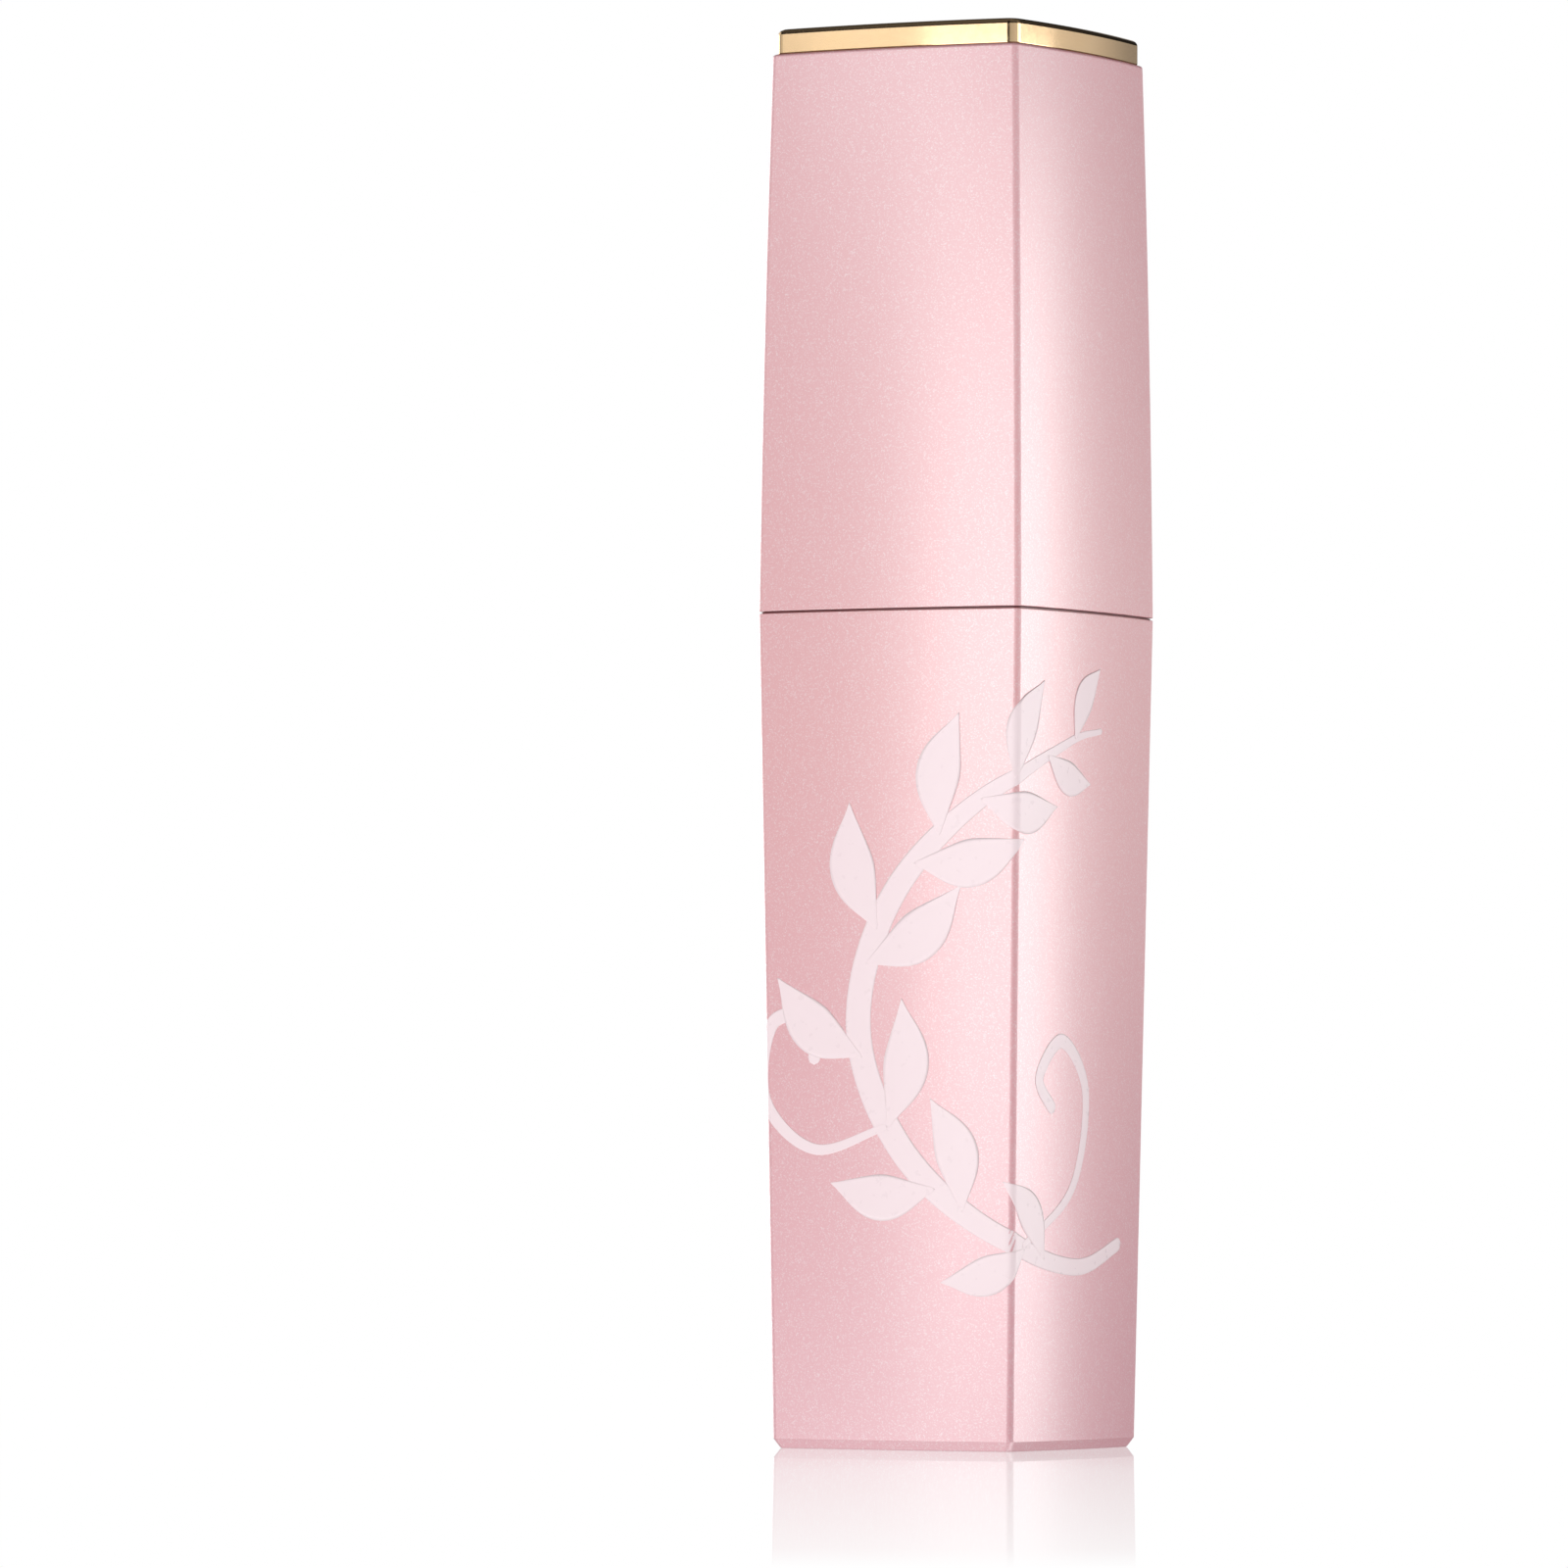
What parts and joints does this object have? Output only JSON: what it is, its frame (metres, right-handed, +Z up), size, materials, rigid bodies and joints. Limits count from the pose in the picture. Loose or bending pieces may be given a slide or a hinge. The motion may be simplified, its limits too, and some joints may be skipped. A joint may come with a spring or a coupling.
{
  "type": "lip gloss tube",
  "caption": "Square lip gloss tube with softly bulging sides: pink pearl sleeve and screw cap, gold top plate, and a doe-foot applicator on a clear wand.",
  "frame": {"origin": "middle of the base, on the surface it stands on", "axes": "+Z up along the tube; the front face looks along -Y, and the other sides face +X, +Y and -X"},
  "size_m": [0.0222, 0.0222, 0.1],
  "materials": {
    "pink_pearl": "satin pearl lacquer",
    "collar_rose": "deep rose satin",
    "gold": "polished champagne gold",
    "clear_plastic": "clear moulded plastic",
    "gloss": "thick translucent gloss",
    "silver": "satin silver",
    "white_plastic": "moulded white",
    "flock": "short nylon flock",
    "soft_rubber": "soft translucent",
    "liner_plastic": "moulded",
    "seal": "foam-faced washer",
    "steel": "turned",
    "label": "blank satin film"
  },
  "bodies": {
    "bottle": {"bottle_sleeve": "pink_pearl", "base_label": "label", "inner_vial": "clear_plastic", "shoulder_collar": "collar_rose", "wiper": "soft_rubber", "gloss_fill": "gloss"},
    "washer": {"seal_washer": "seal"},
    "weight": {"cap_weight": "steel"},
    "cap": {"cap_shell": "pink_pearl", "top_plate": "gold", "inner_cap": "liner_plastic", "wand_holder": "liner_plastic", "wand_sleeve": "clear_plastic", "wand_core": "silver", "tip_carrier": "white_plastic", "flocked_tip": "flock"}
  },
  "joints": [
    {"name": "cap_lift", "type": "slide", "parent": "bottle", "child": "washer", "axis": [0, 0, 1], "range_m": [0, 0.07], "deforming": ["wiper"]},
    {"name": "thread_rise", "type": "slide", "parent": "washer", "child": "weight", "axis": [0, 0, 1], "range_m": [0, 0.003]},
    {"name": "cap_turn", "type": "hinge", "parent": "weight", "child": "cap", "pos_m": [0, 0, 0.08], "axis": [0, 0, 1], "range_deg": [0, 450]}
  ],
  "couplings": [
    {"joint": "thread_rise", "follows": "cap_turn", "m_per_rad": 0.00038197}
  ]
}
